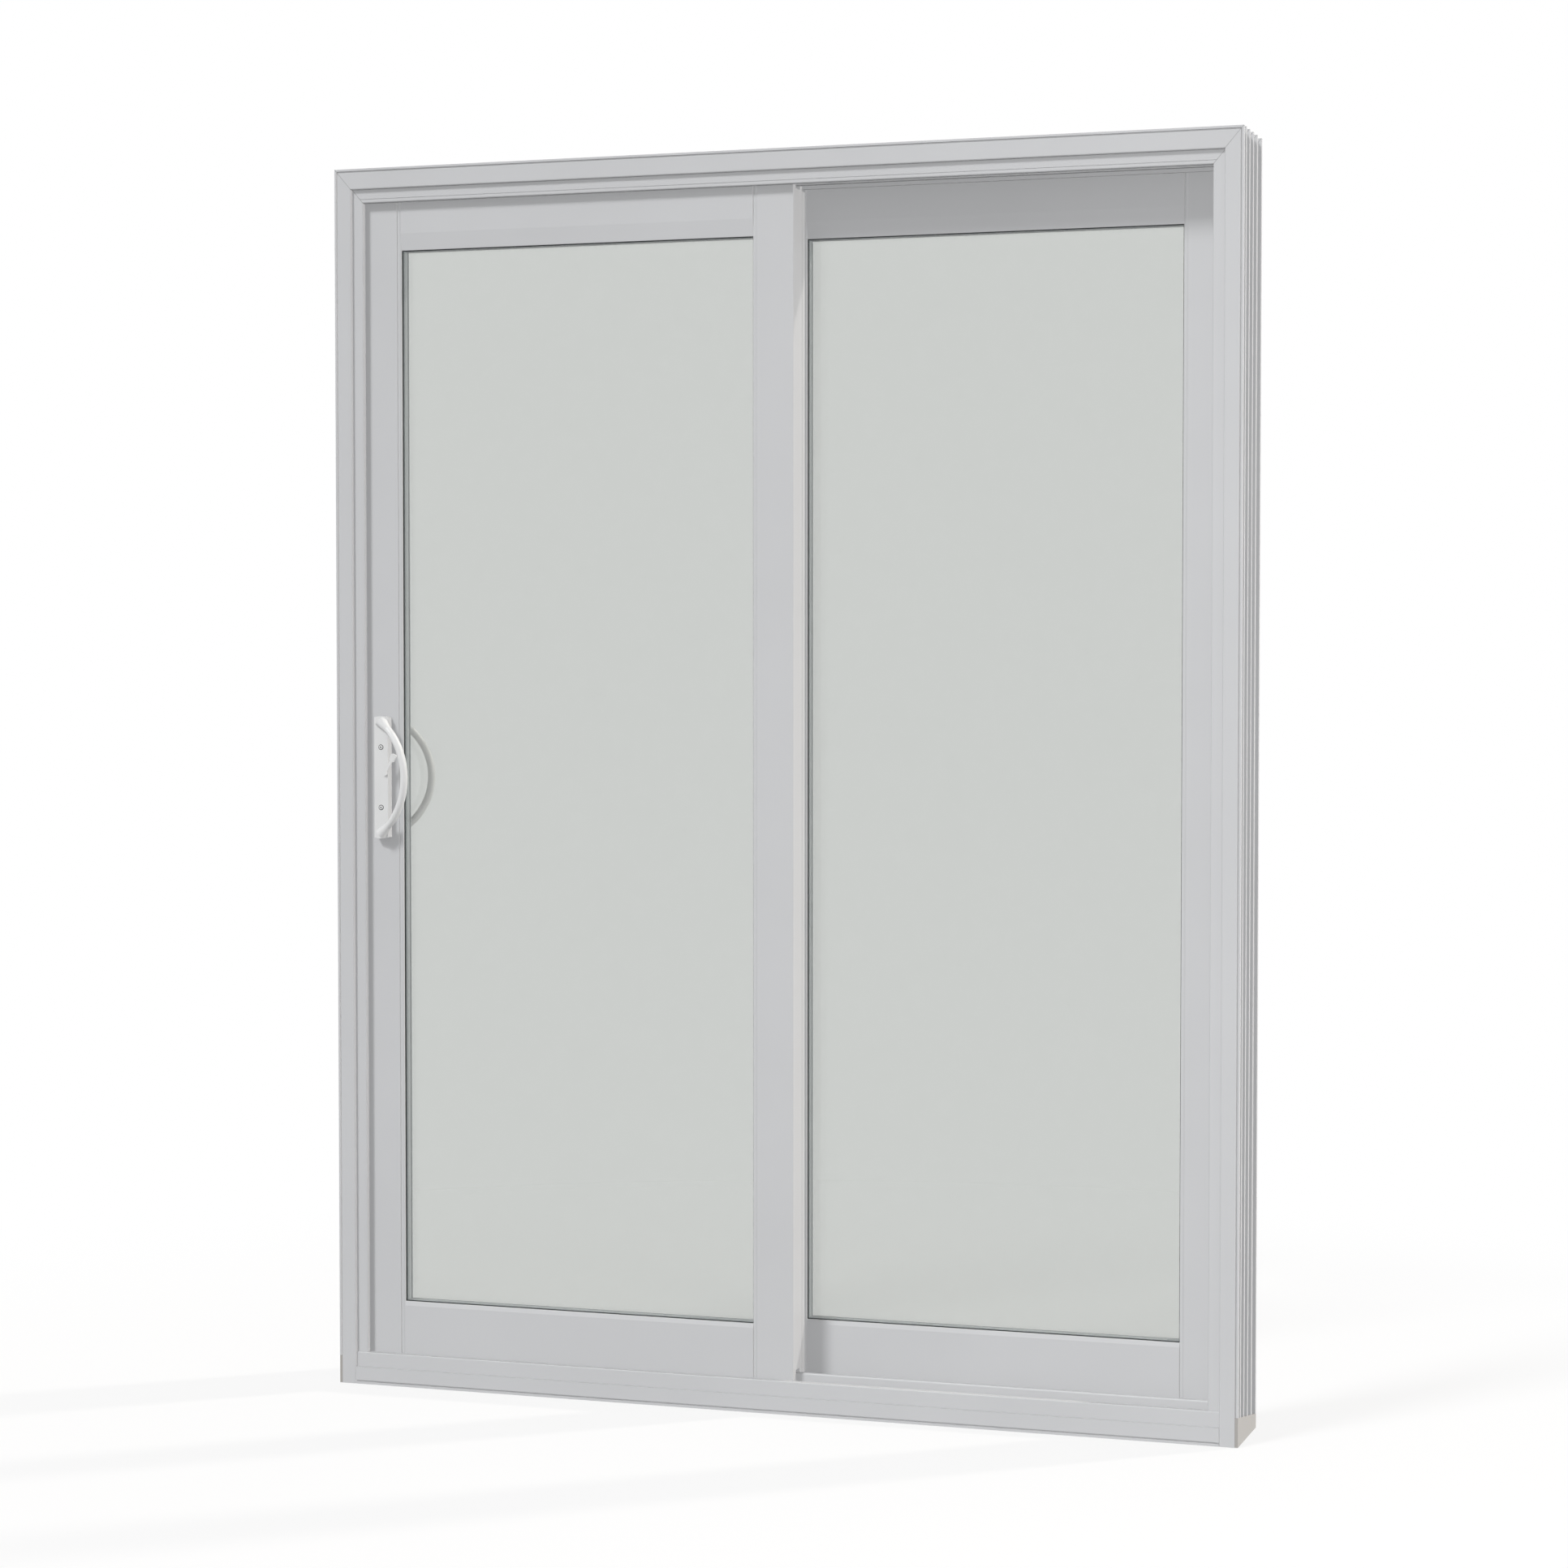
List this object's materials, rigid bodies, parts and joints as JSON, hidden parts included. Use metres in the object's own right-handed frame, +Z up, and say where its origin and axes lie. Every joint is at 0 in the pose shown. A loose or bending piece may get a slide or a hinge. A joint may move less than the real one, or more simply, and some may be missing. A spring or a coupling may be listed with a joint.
{
  "type": "glass sliding patio door",
  "caption": "White vinyl patio door set with a sliding glazed panel beside a fixed one, in a ribbed frame with mitred head, railed sill, bow pulls and a thumb latch.",
  "frame": {"origin": "middle of the sill's underside: centre of the door's width, middle of the frame's depth, floor level", "axes": "+X across the door to the right seen from the room, the way the sliding panel opens; +Y from the room to the outside; +Z up"},
  "size_m": [1.518, 0.1689, 2.019],
  "materials": {
    "vinyl_white": "satin",
    "cap_white": "matte",
    "glass": "polished",
    "gasket": "matte",
    "spacer": "satin",
    "handle_white": "gloss",
    "steel": "brushed",
    "nylon": "matte"
  },
  "bodies": {
    "frame": {"head": "vinyl_white", "left_jamb": "vinyl_white", "right_jamb": "vinyl_white", "sill": "vinyl_white", "left_sill_cap": "cap_white", "right_sill_cap": "cap_white", "head_guide": "vinyl_white", "sill_rail": "vinyl_white", "lock_keeper": "steel", "fixed_left_stile": "vinyl_white", "fixed_right_stile": "vinyl_white", "fixed_top_rail": "vinyl_white", "fixed_bottom_rail": "vinyl_white", "fixed_inner_pane": "glass", "fixed_outer_pane": "glass", "fixed_spacer": "spacer", "fixed_inner_gasket": "gasket", "fixed_outer_gasket": "gasket", "fixed_interlock": "vinyl_white"},
    "sliding_panel": {"sliding_left_stile": "vinyl_white", "sliding_right_stile": "vinyl_white", "sliding_top_rail": "vinyl_white", "sliding_bottom_rail": "vinyl_white", "sliding_inner_pane": "glass", "sliding_outer_pane": "glass", "sliding_spacer": "spacer", "sliding_inner_gasket": "gasket", "sliding_outer_gasket": "gasket", "sliding_interlock": "vinyl_white", "inside_plate": "handle_white", "inside_pull": "handle_white", "outside_plate": "handle_white", "outside_pull": "handle_white", "handle_screws": "steel", "lock_faceplate": "steel", "roller_wheels": "nylon", "roller_housings": "steel"},
    "latch": {"latch_lever": "handle_white"}
  },
  "joints": [
    {"name": "panel_slide", "type": "slide", "parent": "frame", "child": "sliding_panel", "axis": [1, 0, 0], "range_m": [0, 0.58]},
    {"name": "latch_turn", "type": "hinge", "parent": "sliding_panel", "child": "latch", "pos_m": [-0.6736, -0.0696, 1.0215], "axis": [0, 1, 0], "range_deg": [0, 90]}
  ]
}
